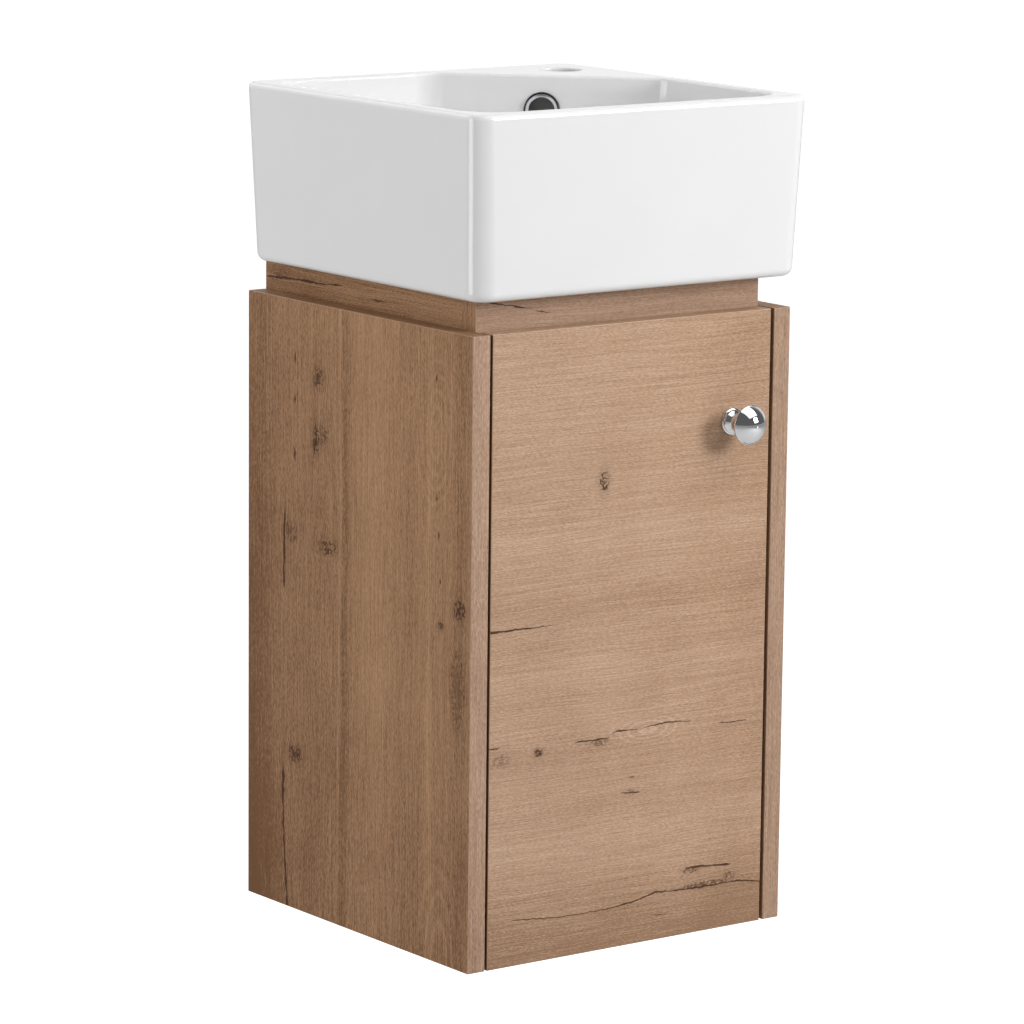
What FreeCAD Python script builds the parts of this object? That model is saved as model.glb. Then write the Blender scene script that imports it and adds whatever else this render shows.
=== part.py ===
import FreeCAD, Part
import math
import os

# Wall-hung vanity unit: an oak-look cabinet with one inset door, a recessed plinth and a ceramic basin.
# Millimetres. X runs across with 0 in the middle, Y runs into the wall with 0 on the wall, and Z runs up
# with 0 at the underside of the cabinet.

# Cabinet boards
cabinet_width = 300.0
cabinet_depth = 298.0
cabinet_height = 482.0
board = 16.0
arris = 0.9
lower_rail_height = 80.0

# Plinth: the rails stand above the side panels and reach down between them
plinth_show = 24.5
plinth_sink = 54.0

# Wall fixing: two holes in the hanging rail, below the plinth's top
wall_hole_spacing = 160.0
wall_hole_radius = 3.5
wall_hole_drop = 40.0

# Door: inset between the side panels
hinge_side_gap = 2.0
latch_side_gap = 3.0
door_back_gap = 3.5

# Door knob, turned about one axis: each radius and its distance in front of the door
knob_from_edge = 37.0
knob_from_top = 84.0
knob_base_radius = 10.5
knob_base_edge = 1.2
knob_step_radius = 8.8
knob_step_out = 2.4
knob_neck_radius = 4.6
knob_neck_start = 9.0
knob_neck_end = 14.5
knob_cap_radius = 15.5
knob_cap_out = 22.6
knob_cap_edge = 1.3
knob_length = 31.8
knob_screw_radius = 2.0
knob_screw_bite = 10.0
knob_screw_head = 2.4

# Soft pads behind the free side of the door
bumper_radius = 5.0
bumper_inset = 14.0
bumper_play = 0.3

# Concealed hinges: each door cup carries a pin, and the arm's eye turns on it
hinge_inset = 90.0
pin_in = 8.4
pin_back = 5.6
pin_radius = 1.0
pin_play = 0.05
pin_press = 0.01
eye_radius = 1.9
cup_edge = 3.5
cup_radius = 17.5
cup_depth = 13.2
cup_wall = 1.0
cup_floor = 0.6
ear_thickness = 1.2
ear_height = 62.0
ear_width = 35.0
ear_offset = 1.5
ear_round = 6.0
ear_screw_spacing = 48.0
ear_screw_offset = 8.0
lug_thickness = 3.4
lug_reach = 2.4
arm_height = 14.0
arm_thickness = 2.0
arm_clear = 13.7
arm_length = 78.0
arm_bend = 0.6
plate_start = 30.0
plate_thickness = 5.0
plate_wing_thickness = 3.0
plate_wing_start = 46.0
plate_wing_width = 14.0
plate_wing_height = 50.0
plate_screw_spacing = 32.0
arm_screw_end = 10.0
arm_screw_radius = 2.5
arm_screw_head_radius = 4.4
arm_screw_head = 2.4
spring_thickness = 0.5
spring_height = 8.0
spring_start = 11.0
spring_end = 35.0
spring_upturn = 5.0

# Screws in wood
wood_screw_radius = 1.8
wood_screw_head_radius = 3.5
wood_screw_bite = 11.0
pan_head = 1.8
plinth_screw_inset = 70.0
plinth_screw_drop = 26.0

# Cam bolts, cam locks and dowels that hold the boards together
bolt_thread_radius = 2.5
bolt_thread_length = 10.0
bolt_shank_radius = 2.2
bolt_head_radius = 3.3
bolt_head_length = 4.0
bolt_bore_radius = 4.0
cam_reach = 24.0
cam_radius = 7.4
cam_height = 12.4
cam_slot = 1.4
cam_slot_length = 10.0
cam_slot_depth = 2.8
dowel_radius = 4.0
dowel_length = 30.0
dowel_in_face = 11.0
joint_inset = 45.0
rail_bolt_inset = 20.0

# Clearances
fit_gap = 0.1
end_gap = 0.3

# Basin: a drafted ceramic box that stands out past the cabinet. The tap deck takes up one corner of the bowl
basin_side_overhang = 7.0
basin_front_overhang = 13.0
basin_height = 138.5
basin_taper = 5.0
basin_corner = 15.0
basin_corner_foot = 16.0
rim_width = 14.0
rim_round = 4.0
foot_round = 7.0
bowl_depth = 112.0
bowl_slope = 9.0
bowl_corner = 30.0
bowl_corner_floor = 32.0
bowl_floor_round = 16.0
lip_round = 2.5
deck_reach = 114.0
deck_thickness = 14.0
tap_from_side = 42.0
tap_from_wall = 47.0
tap_hole_radius = 17.5
tap_hole_round = 1.5

# Overflow and waste
overflow_drop = 27.7
overflow_offset = 2.8
overflow_hole_radius = 12.0
ring_radius = 14.5
ring_bore_radius = 10.5
ring_rim = 2.0
ring_sleeve = 9.0
duct_skin = 11.0
duct_thickness = 11.0
duct_width = 34.0
duct_headroom = 15.0
channel_width = 22.0
channel_height = 9.0
channel_floor = 6.0
waste_reach = 120.0
waste_radius = 22.5
waste_seat_radius = 32.0
waste_seat_depth = 3.0
waste_boss_radius = 42.0

# Hollows under the basin
well_wall = 17.0
well_skin = 9.0
recess_depth = 9.0
recess_margin = 2.0
rib_margin = 13.0

# Places worked out from the sizes above
half_width = cabinet_width / 2
inner_half = half_width - board
front = -cabinet_depth
door_back = front + board
carcass_front = door_back + door_back_gap
side_rail_inner = inner_half - board
side_rail_front = carcass_front + board
plinth_bottom = cabinet_height - plinth_sink
plinth_top = cabinet_height + plinth_show
door_left = -inner_half + hinge_side_gap
door_right = inner_half - latch_side_gap

Vec = FreeCAD.Vector
X_AXIS = Vec(1, 0, 0)
Y_AXIS = Vec(0, 1, 0)
Z_AXIS = Vec(0, 0, 1)
AXES = (X_AXIS, Y_AXIS, Z_AXIS)


def box(low, high):
    """A box between two corners."""
    low = Vec(*low)
    size = Vec(*high) - low
    return Part.makeBox(size.x, size.y, size.z, low)


def rod(start, along, radius, length):
    """A round bar from a point along a direction."""
    return Part.makeCylinder(radius, length, start, along)


def block(middle, *spans):
    """A box about its middle, from three vectors that lie along the axes."""
    half = Vec(0, 0, 0)
    for span in spans:
        half = half + Vec(abs(span.x), abs(span.y), abs(span.z)) * 0.5
    low = middle - half
    return Part.makeBox(2 * half.x, 2 * half.y, 2 * half.z, low)


def across(along):
    """The two axes square to an axis."""
    return [axis for axis in AXES if abs(axis.dot(along)) < 0.5]


def merge(shapes):
    """One solid from pieces that overlap or touch."""
    whole = shapes[0]
    for shape in shapes[1:]:
        whole = whole.fuse(shape)
    return whole.removeSplitter()


def cut_all(shape, tools):
    """The shape without the tools."""
    for tool in tools:
        shape = shape.cut(tool)
    return shape


def banded(low, high):
    """A board with its edges very slightly rounded, as edge banding leaves them."""
    plain = box(low, high)
    return plain.makeFillet(arris, plain.Edges)


def cross_recess(point, into, length, depth):
    """The cross-shaped recess for a screwdriver, cut in from a face."""
    middle = point + into * (depth / 2)
    first, second = across(into)
    arm = block(middle, first * length, second * (length / 4), into * depth)
    return arm.fuse(block(middle, first * (length / 4), second * length, into * depth))


# The boards, before their holes are drilled
boards = {
    "side_panel_left": banded((-half_width, front, 0), (-inner_half, 0, cabinet_height)),
    "side_panel_right": banded((inner_half, front, 0), (half_width, 0, cabinet_height)),
    "bottom_panel": box((-inner_half, carcass_front, 0), (inner_half, 0, board)),
    "lower_back_rail": box((-inner_half, -board, board), (inner_half, 0, board + lower_rail_height)),
    "hanging_rail": box((-side_rail_inner, -board, plinth_bottom), (side_rail_inner, 0, plinth_top)),
    "plinth_front_rail": banded((-inner_half, carcass_front, plinth_bottom),
                                (inner_half, side_rail_front, plinth_top)),
    "plinth_left_rail": banded((-inner_half, side_rail_front, plinth_bottom),
                               (-side_rail_inner, 0, plinth_top)),
    "plinth_right_rail": banded((side_rail_inner, side_rail_front, plinth_bottom),
                                (inner_half, 0, plinth_top)),
    "door": banded((door_left, front, 0), (door_right, door_back, cabinet_height)),
}
drillings = {name: [] for name in boards}

# Joints between the boards: a point on the joint plane, and the way into the end of the second board
bolts = []
cams = []
dowels = []


def cam_joint(face_board, end_board, point, along, face):
    """A bolt in the face of one board, locked by a cam let into the other from the given face."""
    centre = point + along * cam_reach
    head_start = centre - along * (bolt_head_length / 2)
    thread = rod(point - along * bolt_thread_length, along, bolt_thread_radius, bolt_thread_length)
    shank = rod(point, along, bolt_shank_radius, cam_reach)
    bolts.append(merge([thread, shank, rod(head_start, along, bolt_head_radius, bolt_head_length)]))
    mouth = centre + face * (board / 2)
    cam = rod(mouth - face * end_gap, -face, cam_radius, cam_height)
    head_end = centre + along * (bolt_head_length / 2 + end_gap)
    head_room = rod(head_end, -along, bolt_head_radius + end_gap, cam_reach)
    first, second = across(face)
    slots = [block(mouth, span * cam_slot_length, other * cam_slot, face * (2 * cam_slot_depth))
             for span, other in ((first, second), (second, first))]
    cams.append(cut_all(cam, [head_room] + slots))
    pilot = rod(point, -along, bolt_thread_radius + fit_gap, bolt_thread_length + end_gap)
    drillings[face_board].append(pilot)
    drillings[end_board].append(rod(point, along, bolt_bore_radius, cam_reach))
    drillings[end_board].append(rod(mouth, -face, cam_radius + fit_gap, cam_height + 2 * end_gap))


def dowel_joint(face_board, end_board, point, along):
    """A glued wooden dowel across a joint."""
    start = point - along * dowel_in_face
    dowels.append(rod(start, along, dowel_radius, dowel_length))
    hole = rod(start - along * end_gap, along, dowel_radius + fit_gap, dowel_length + 2 * end_gap)
    drillings[face_board].append(hole)
    drillings[end_board].append(hole)


bottom_middle = board / 2
rail_middle = -board / 2
for side, panel, side_rail in ((-1, "side_panel_left", "plinth_left_rail"),
                               (1, "side_panel_right", "plinth_right_rail")):
    inward = X_AXIS * -side
    inner_face = side * inner_half
    rail_face = side * side_rail_inner
    for depth in (carcass_front + joint_inset, -joint_inset):
        cam_joint(panel, "bottom_panel", Vec(inner_face, depth, bottom_middle), inward, -Z_AXIS)
    dowel_joint(panel, "bottom_panel", Vec(inner_face, carcass_front / 2, bottom_middle), inward)
    low_bolt = board + rail_bolt_inset
    low_dowel = board + lower_rail_height - rail_bolt_inset
    cam_joint(panel, "lower_back_rail", Vec(inner_face, rail_middle, low_bolt), inward, -Y_AXIS)
    dowel_joint(panel, "lower_back_rail", Vec(inner_face, rail_middle, low_dowel), inward)
    high_bolt = plinth_bottom + rail_bolt_inset
    high_dowel = plinth_top - rail_bolt_inset
    cam_joint(side_rail, "hanging_rail", Vec(rail_face, rail_middle, high_bolt), inward, -Y_AXIS)
    dowel_joint(side_rail, "hanging_rail", Vec(rail_face, rail_middle, high_dowel), inward)
    rail_line = side * (inner_half - board / 2)
    cam_joint("plinth_front_rail", side_rail, Vec(rail_line, side_rail_front, high_bolt), Y_AXIS, inward)
    dowel_joint("plinth_front_rail", side_rail, Vec(rail_line, side_rail_front, high_dowel), Y_AXIS)

wall_hole_level = plinth_top - wall_hole_drop
for side in (-1, 1):
    start = Vec(side * wall_hole_spacing / 2, -board, wall_hole_level)
    drillings["hanging_rail"].append(rod(start, Y_AXIS, wall_hole_radius, board))


def sunk_screw(point, into, length, gap=0.0):
    """A countersunk wood screw with its head flush at a point, or its hole when a gap is given."""
    head = Part.makeCone(wood_screw_head_radius + gap, wood_screw_radius + gap,
                         wood_screw_head_radius - wood_screw_radius, point, into)
    return merge([head, rod(point, into, wood_screw_radius + gap, length + 3 * gap)])


def pan_screw(point, into, radius, head_radius, head, length):
    """A screw whose flat head stands on a face at a point."""
    top = point - into * head
    cap = rod(top, into, head_radius, head)
    rim = [edge for edge in cap.Edges if edge.CenterOfMass.distanceToPoint(top) < 0.01]
    cap = cap.makeFillet(head / 3, rim)
    shank = rod(point, into, radius, length)
    return merge([cap, shank]).cut(cross_recess(top, into, 1.2 * head_radius, head / 2))


# Screws that hold the side rails to the side panels from the inside
plinth_screws = []
screw_level = cabinet_height - plinth_screw_drop
screw_length = board + wood_screw_bite
for side, panel, side_rail in ((-1, "side_panel_left", "plinth_left_rail"),
                               (1, "side_panel_right", "plinth_right_rail")):
    for depth in (side_rail_front + plinth_screw_inset, -plinth_screw_inset):
        point = Vec(side * side_rail_inner, depth, screw_level)
        outward = X_AXIS * side
        screw = sunk_screw(point, outward, screw_length)
        recess = cross_recess(point, outward, wood_screw_head_radius, wood_screw_radius)
        plinth_screws.append(screw.cut(recess))
        hole = sunk_screw(point, outward, screw_length, fit_gap)
        drillings[side_rail].append(hole)
        drillings[panel].append(hole)


def door_point(across_door, behind, level):
    """A point given from the door's hinge edge, its front face and the cabinet's underside."""
    return Vec(door_left + across_door, front + behind, level)


def hinge_box(low, high):
    """A box in the same three measures."""
    return box(door_point(*low), door_point(*high))


def round_upright(shape, spots, radius):
    """Round the upright edges that stand at the given places in the door's measures."""
    chosen = []
    for edge in shape.Edges:
        for spot in spots:
            place = door_point(spot[0], spot[1], edge.CenterOfMass.z)
            upright = abs(edge.tangentAt(edge.FirstParameter).z) > 0.99
            if upright and edge.CenterOfMass.distanceToPoint(place) < 0.01:
                chosen.append(edge)
    return shape.makeFillet(radius, chosen)


hinge_pins = []
hinge_springs = []
cup_screws = []
plate_screws = []
arm_screws = []
hinge_pieces = {}
cup_middle = cup_edge + cup_radius
cup_bottom = board - cup_depth + cup_floor
for place, level in (("lower", hinge_inset), ("upper", cabinet_height - hinge_inset)):
    # The cup is let into the back of the door, with ears for two screws and lugs for the pin
    mouth = door_point(cup_middle, board, level)
    shell = rod(mouth, -Y_AXIS, cup_radius, cup_depth)
    ear_middle = cup_middle + ear_offset
    ears = hinge_box((ear_middle - ear_width / 2, board, level - ear_height / 2),
                     (ear_middle + ear_width / 2, board + ear_thickness, level + ear_height / 2))
    ear_corners = [edge for edge in ears.Edges if abs(edge.tangentAt(edge.FirstParameter).y) > 0.99]
    ears = ears.makeFillet(ear_round, ear_corners)
    hollow = rod(mouth + Y_AXIS * ear_thickness, -Y_AXIS, cup_radius - cup_wall,
                 cup_depth + ear_thickness - cup_floor)
    cup = merge([shell, ears]).cut(hollow)
    lug_start = arm_height / 2 + 2 * end_gap
    inside = rod(mouth, -Y_AXIS, cup_radius - cup_wall / 2, cup_depth - cup_floor / 2)
    for side in (-1, 1):
        lug_low, lug_high = sorted((level + side * lug_start, level + side * (lug_start + lug_thickness)))
        lug = hinge_box((0, cup_bottom - cup_floor / 2, lug_low),
                        (pin_in + lug_reach, pin_back + lug_reach, lug_high))
        cup = merge([cup, lug.common(inside)])
    pin_half = lug_start + lug_thickness
    pin_foot = door_point(pin_in, pin_back, level - pin_half)
    hinge_pins.append(rod(pin_foot, Z_AXIS, pin_radius, 2 * pin_half))
    cup = cup.cut(rod(pin_foot, Z_AXIS, pin_radius + pin_press, 2 * pin_half))
    drillings["door"].append(rod(mouth, -Y_AXIS, cup_radius + fit_gap, cup_depth + fit_gap))
    for side in (-1, 1):
        screw_at = level + side * ear_screw_spacing / 2
        spot = door_point(cup_middle + ear_screw_offset, board + ear_thickness, screw_at)
        cup_screws.append(pan_screw(spot, -Y_AXIS, wood_screw_radius, wood_screw_head_radius, pan_head,
                                    wood_screw_bite))
        hole = rod(spot, -Y_AXIS, wood_screw_radius + fit_gap, wood_screw_bite + end_gap)
        cup = cup.cut(hole)
        drillings["door"].append(hole)
    hinge_pieces["hinge_cup_" + place] = cup

    # A leaf spring lies on the cup's floor and presses on the arm
    spring_half = spring_height / 2
    leaf = hinge_box((spring_start, cup_bottom, level - spring_half),
                     (spring_end, cup_bottom + spring_thickness, level + spring_half))
    upturn = hinge_box((spring_end - spring_thickness, cup_bottom, level - spring_half),
                       (spring_end, cup_bottom + spring_upturn, level + spring_half))
    hinge_springs.append(merge([leaf, upturn]))

    # The arm is a bent strip: out of the cup, round behind the door's edge and back along the side panel
    low = level - arm_height / 2
    high = level + arm_height / 2
    half_strip = arm_thickness / 2
    out_near = pin_in + arm_clear
    out_far = out_near + arm_thickness
    back_near = pin_back + arm_clear
    back_far = back_near + arm_thickness
    plate_face = -hinge_side_gap + plate_thickness
    strip_face = plate_face + arm_thickness
    eye = rod(door_point(pin_in, pin_back, low), Z_AXIS, eye_radius, arm_height)
    reach = hinge_box((pin_in, pin_back - half_strip, low), (out_far, pin_back + half_strip, high))
    rise = hinge_box((out_near, pin_back - half_strip, low), (out_far, back_far, high))
    turn = hinge_box((plate_face, back_near, low), (out_far, back_far, high))
    tail = hinge_box((plate_face, back_near, low), (strip_face, arm_length, high))
    arm = merge([eye, reach, rise, turn, tail])
    outer_bends = ((out_far, pin_back - half_strip), (out_far, back_far), (plate_face, back_near))
    inner_bends = ((out_near, pin_back + half_strip), (out_near, back_near), (strip_face, back_far))
    arm = round_upright(arm, outer_bends, arm_bend + arm_thickness)
    arm = round_upright(arm, inner_bends, arm_bend)
    arm = arm.cut(rod(door_point(pin_in, pin_back, low), Z_AXIS, pin_radius + pin_play, arm_height))

    # The mounting plate is screwed to the side panel, and one machine screw clamps the arm on it
    spine = hinge_box((-hinge_side_gap, plate_start, low), (plate_face, arm_length, high))
    wing_back = plate_wing_start + plate_wing_width
    wing = hinge_box((-hinge_side_gap, plate_wing_start, level - plate_wing_height / 2),
                     (-hinge_side_gap + plate_wing_thickness, wing_back, level + plate_wing_height / 2))
    plate = merge([spine, wing])
    wing_middle = plate_wing_start + plate_wing_width / 2
    for side in (-1, 1):
        screw_at = level + side * plate_screw_spacing / 2
        spot = door_point(-hinge_side_gap + plate_wing_thickness, wing_middle, screw_at)
        screw = sunk_screw(spot, -X_AXIS, wood_screw_bite)
        recess = cross_recess(spot, -X_AXIS, wood_screw_head_radius, wood_screw_radius)
        plate_screws.append(screw.cut(recess))
        hole = sunk_screw(spot, -X_AXIS, wood_screw_bite, fit_gap)
        plate = plate.cut(hole)
        drillings["side_panel_left"].append(hole)
    spot = door_point(strip_face, arm_length - arm_screw_end, level)
    arm_screw_length = arm_thickness + plate_thickness - end_gap
    arm_screws.append(pan_screw(spot, -X_AXIS, arm_screw_radius, arm_screw_head_radius, arm_screw_head,
                                arm_screw_length))
    hole = rod(spot, -X_AXIS, arm_screw_radius + fit_gap, arm_thickness + plate_thickness)
    hinge_pieces["hinge_arm_" + place] = arm.cut(hole)
    hinge_pieces["hinge_plate_" + place] = plate.cut(hole)

# The knob is turned in one piece: base, neck and domed cap
knob_x = door_right - knob_from_edge
knob_level = cabinet_height - knob_from_top


def knob_point(radius, out):
    """A point of the knob's profile."""
    return Vec(knob_x + radius, front - out, knob_level)


def knob_line(start, end):
    """A straight stretch of the profile."""
    return Part.makeLine(knob_point(*start), knob_point(*end))


def knob_arc(start, middle, end):
    """A round stretch of the profile."""
    return Part.Arc(knob_point(*start), knob_point(*middle), knob_point(*end)).toShape()


base_lip = (knob_base_radius - knob_base_edge, knob_step_out)
base_side = (knob_base_radius, knob_step_out - knob_base_edge)
lip_bulge = (knob_base_radius - 0.3 * knob_base_edge, knob_step_out - 0.3 * knob_base_edge)
step = (knob_step_radius, knob_step_out)
neck_foot = (knob_neck_radius, knob_neck_start)
foot_hollow = (knob_neck_radius + 0.32 * (knob_step_radius - knob_neck_radius),
               knob_step_out + 0.34 * (knob_neck_start - knob_step_out))
neck_head = (knob_neck_radius, knob_neck_end)
cap_under = (knob_cap_radius - knob_cap_edge, knob_cap_out - knob_cap_edge)
cap_hollow = (knob_neck_radius + 0.34 * (cap_under[0] - knob_neck_radius),
              knob_neck_end + 0.7 * (cap_under[1] - knob_neck_end))
cap_side = (knob_cap_radius, knob_cap_out)
cap_over = (knob_cap_radius - 0.6 * knob_cap_edge, knob_cap_out + knob_cap_edge)
dome_rise = knob_length - cap_over[1]
dome_radius = (cap_over[0] ** 2 + dome_rise ** 2) / (2 * dome_rise)
dome_half = math.asin(cap_over[0] / dome_radius) / 2
dome_middle = (dome_radius * math.sin(dome_half), knob_length - dome_radius * (1 - math.cos(dome_half)))
profile = [
    knob_line((0, 0), (knob_base_radius, 0)),
    knob_line((knob_base_radius, 0), base_side),
    knob_arc(base_side, lip_bulge, base_lip),
    knob_line(base_lip, step),
    knob_arc(step, foot_hollow, neck_foot),
    knob_line(neck_foot, neck_head),
    knob_arc(neck_head, cap_hollow, cap_under),
    knob_arc(cap_under, cap_side, cap_over),
    knob_arc(cap_over, dome_middle, (0, knob_length)),
    knob_line((0, knob_length), (0, 0)),
]
knob = Part.Face(Part.Wire(profile)).revolve(knob_point(0, 0), Y_AXIS, 360)
screw_seat = Vec(knob_x, door_back, knob_level)
knob_screw_length = board + knob_screw_bite
knob_screw = pan_screw(screw_seat, -Y_AXIS, knob_screw_radius, 2 * knob_screw_radius, knob_screw_head,
                       knob_screw_length)
screw_hole = rod(screw_seat, -Y_AXIS, knob_screw_radius + fit_gap, knob_screw_length + end_gap)
knob = knob.cut(screw_hole)
drillings["door"].append(screw_hole)

# Soft pads that stop the free side of the door against the front rail and the bottom panel
bumpers = []
for level in (board / 2, cabinet_height - bumper_inset):
    pad_foot = Vec(door_right - bumper_inset, door_back, level)
    pad_thickness = door_back_gap - bumper_play
    pad = rod(pad_foot, Y_AXIS, bumper_radius, pad_thickness)
    top = pad_foot + Y_AXIS * pad_thickness
    rim = [edge for edge in pad.Edges if edge.CenterOfMass.distanceToPoint(top) < 0.01]
    bumpers.append(pad.makeFillet(pad_thickness / 2, rim))


def corner_frame(corners, index):
    """A corner of an outline, the ways to its neighbours and half the angle between them."""
    corner = Vec(*corners[index], 0)
    before = (Vec(*corners[index - 1], 0) - corner).normalize()
    after = (Vec(*corners[(index + 1) % len(corners)], 0) - corner).normalize()
    return corner, before, after, before.getAngle(after) / 2


def rounded_outline(corners, radius, level):
    """A closed outline with every corner rounded."""
    starts = []
    middles = []
    ends = []
    lift = Z_AXIS * level
    for index in range(len(corners)):
        corner, before, after, half_angle = corner_frame(corners, index)
        inward = (before + after).normalize()
        tangent = radius / math.tan(half_angle)
        starts.append(corner + before * tangent + lift)
        middles.append(corner + inward * (radius / math.sin(half_angle) - radius) + lift)
        ends.append(corner + after * tangent + lift)
    edges = []
    for index in range(len(corners)):
        edges.append(Part.makeLine(ends[index - 1], starts[index]))
        edges.append(Part.Arc(starts[index], middles[index], ends[index]).toShape())
    return Part.Wire(edges)


def inset_outline(corners, distance):
    """The corners of an outline moved inward by the same distance on every side."""
    moved = []
    for index in range(len(corners)):
        corner, before, after, half_angle = corner_frame(corners, index)
        spot = corner + (before + after).normalize() * (distance / math.sin(half_angle))
        moved.append((spot.x, spot.y))
    return moved


def edges_at(shape, level, corners=None):
    """The edges of a shape that lie at one level, and on or inside an outline where one is given."""
    flat = [edge for edge in shape.Edges if abs(edge.BoundBox.ZMin - level) < 0.01
            and abs(edge.BoundBox.ZMax - level) < 0.01]
    if corners is None:
        return flat
    area = Part.Face(Part.makePolygon([Vec(*corner, level) for corner in corners + corners[:1]]))
    return [edge for edge in flat if area.isInside(edge.CenterOfMass, 0.01, True)]


# Basin: the outer form
basin_width = cabinet_width + 2 * basin_side_overhang
basin_depth = cabinet_depth + basin_front_overhang
basin_half = basin_width / 2
basin_top = plinth_top + basin_height
basin_front = -basin_depth
rim_corners = [(-basin_half, basin_front), (basin_half, basin_front), (basin_half, 0), (-basin_half, 0)]
foot_corners = inset_outline(rim_corners, basin_taper)
basin = Part.makeLoft([rounded_outline(foot_corners, basin_corner_foot, plinth_top),
                       rounded_outline(rim_corners, basin_corner, basin_top)], True, True)
basin = basin.makeFillet(rim_round, edges_at(basin, basin_top))
basin = basin.makeFillet(foot_round, edges_at(basin, plinth_top))

# Basin: the bowl, whose back right corner is cut off at 45 degrees by the tap deck
bowl_side = basin_half - rim_width
bowl_back = -rim_width
bowl_front = basin_front + rim_width
deck_line = basin_half - deck_reach * math.sqrt(2)
bowl_corners = [(-bowl_side, bowl_front), (bowl_side, bowl_front), (bowl_side, deck_line - bowl_side),
                (deck_line - bowl_back, bowl_back), (-bowl_side, bowl_back)]
bowl_floor = basin_top - bowl_depth
floor_corners = inset_outline(bowl_corners, bowl_slope)
bowl = Part.makeLoft([rounded_outline(floor_corners, bowl_corner_floor, bowl_floor),
                      rounded_outline(bowl_corners, bowl_corner, basin_top)], True, True)
bowl = bowl.makeFillet(bowl_floor_round, edges_at(bowl, bowl_floor))
basin = basin.cut(bowl)
basin = basin.makeFillet(lip_round, edges_at(basin, basin_top, inset_outline(bowl_corners, -rim_width / 4)))

# Places on the deck's slanting wall: along it, out towards the corner behind it, and up
wall_middle = Vec((bowl_side + deck_line - bowl_back) / 2, (deck_line - bowl_side + bowl_back) / 2, 0)
deck_out = Vec(1, 1, 0).normalize()
deck_along = Vec(-1, 1, 0).normalize()


def deck_box(half_span, near, far, low, high):
    """A box square to the slanting wall, about its middle."""
    shape = box((-half_span, near, low), (half_span, far, high))
    shape.rotate(Vec(0, 0, 0), Z_AXIS, -45)
    shape.translate(wall_middle)
    return shape


# Basin: tap hole, and the well below the deck for the tap's shank and nut
tap_centre = Vec(basin_half - tap_from_side, -tap_from_wall, basin_top)
basin = basin.cut(rod(tap_centre - Z_AXIS * deck_thickness, Z_AXIS, tap_hole_radius, deck_thickness))
rim_edges = edges_at(basin, basin_top)
tap_edge = [edge for edge in rim_edges if edge.CenterOfMass.distanceToPoint(tap_centre) < 0.01]
basin = basin.makeFillet(tap_hole_round, tap_edge)
well_near = duct_skin + duct_thickness + well_skin
well_far = basin_width
well_side = basin_half - well_wall
behind_duct = deck_box(basin_width, well_near, well_far, plinth_top, basin_top - deck_thickness)
well = box((0, basin_front, plinth_top), (well_side, -well_wall, basin_top - deck_thickness))
basin = basin.cut(well.common(behind_duct))

# Basin: overflow hole, the duct behind it, the channel in the floor and the waste hole
lean = math.atan(bowl_slope / bowl_depth)
into_bowl = deck_out * -math.cos(lean) + Z_AXIS * math.sin(lean)
overflow_level = basin_top - overflow_drop
overflow_face = wall_middle - deck_out * (overflow_drop * math.tan(lean)) + Z_AXIS * overflow_level
overflow_face = overflow_face + deck_along * overflow_offset
duct_end = duct_skin + duct_thickness
overflow_bore = duct_skin + duct_thickness / 2
waste_middle = wall_middle - deck_out * waste_reach
channel_low = plinth_top + channel_floor
basin_cuts = [
    rod(overflow_face + into_bowl * ring_rim, -into_bowl, overflow_hole_radius, ring_rim + overflow_bore),
    deck_box(duct_width / 2, duct_skin, duct_end, channel_low, overflow_level + duct_headroom),
    deck_box(channel_width / 2, -waste_reach, duct_end, channel_low, channel_low + channel_height),
    rod(waste_middle + Z_AXIS * plinth_top, Z_AXIS, waste_radius, bowl_floor - plinth_top),
    rod(waste_middle + Z_AXIS * (bowl_floor - waste_seat_depth), Z_AXIS, waste_seat_radius, waste_seat_depth),
]
basin = cut_all(basin, basin_cuts)

# Basin: a shallow hollow in the underside, left out round the waste and along the channel
recess = box((-side_rail_inner + recess_margin, side_rail_front + recess_margin, plinth_top),
             (side_rail_inner - recess_margin, -board - recess_margin, plinth_top + recess_depth))
recess_keep = [
    rod(waste_middle + Z_AXIS * plinth_top, Z_AXIS, waste_boss_radius, recess_depth),
    deck_box(channel_width / 2 + rib_margin, -waste_reach, well_far, plinth_top, plinth_top + recess_depth),
    deck_box(basin_width, -rib_margin, well_far, plinth_top, plinth_top + recess_depth),
]
basin = basin.cut(cut_all(recess, recess_keep))

# Overflow ring: a rounded chrome rim on the slanting wall, with a sleeve in the hole
rim_outer = rod(overflow_face, into_bowl, ring_radius, ring_rim)
sleeve_radius = overflow_hole_radius - 2 * fit_gap
sleeve = rod(overflow_face - into_bowl * ring_sleeve, into_bowl, sleeve_radius, ring_sleeve)
ring_front = overflow_face + into_bowl * ring_rim
rim_edge = [edge for edge in rim_outer.Edges if edge.CenterOfMass.distanceToPoint(ring_front) < 0.01]
rim_outer = rim_outer.makeFillet(ring_rim * 0.7, rim_edge)
ring_bore = rod(overflow_face - into_bowl * ring_sleeve, into_bowl, ring_bore_radius, ring_sleeve + ring_rim)
overflow_ring = merge([rim_outer, sleeve]).cut(ring_bore)

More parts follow.
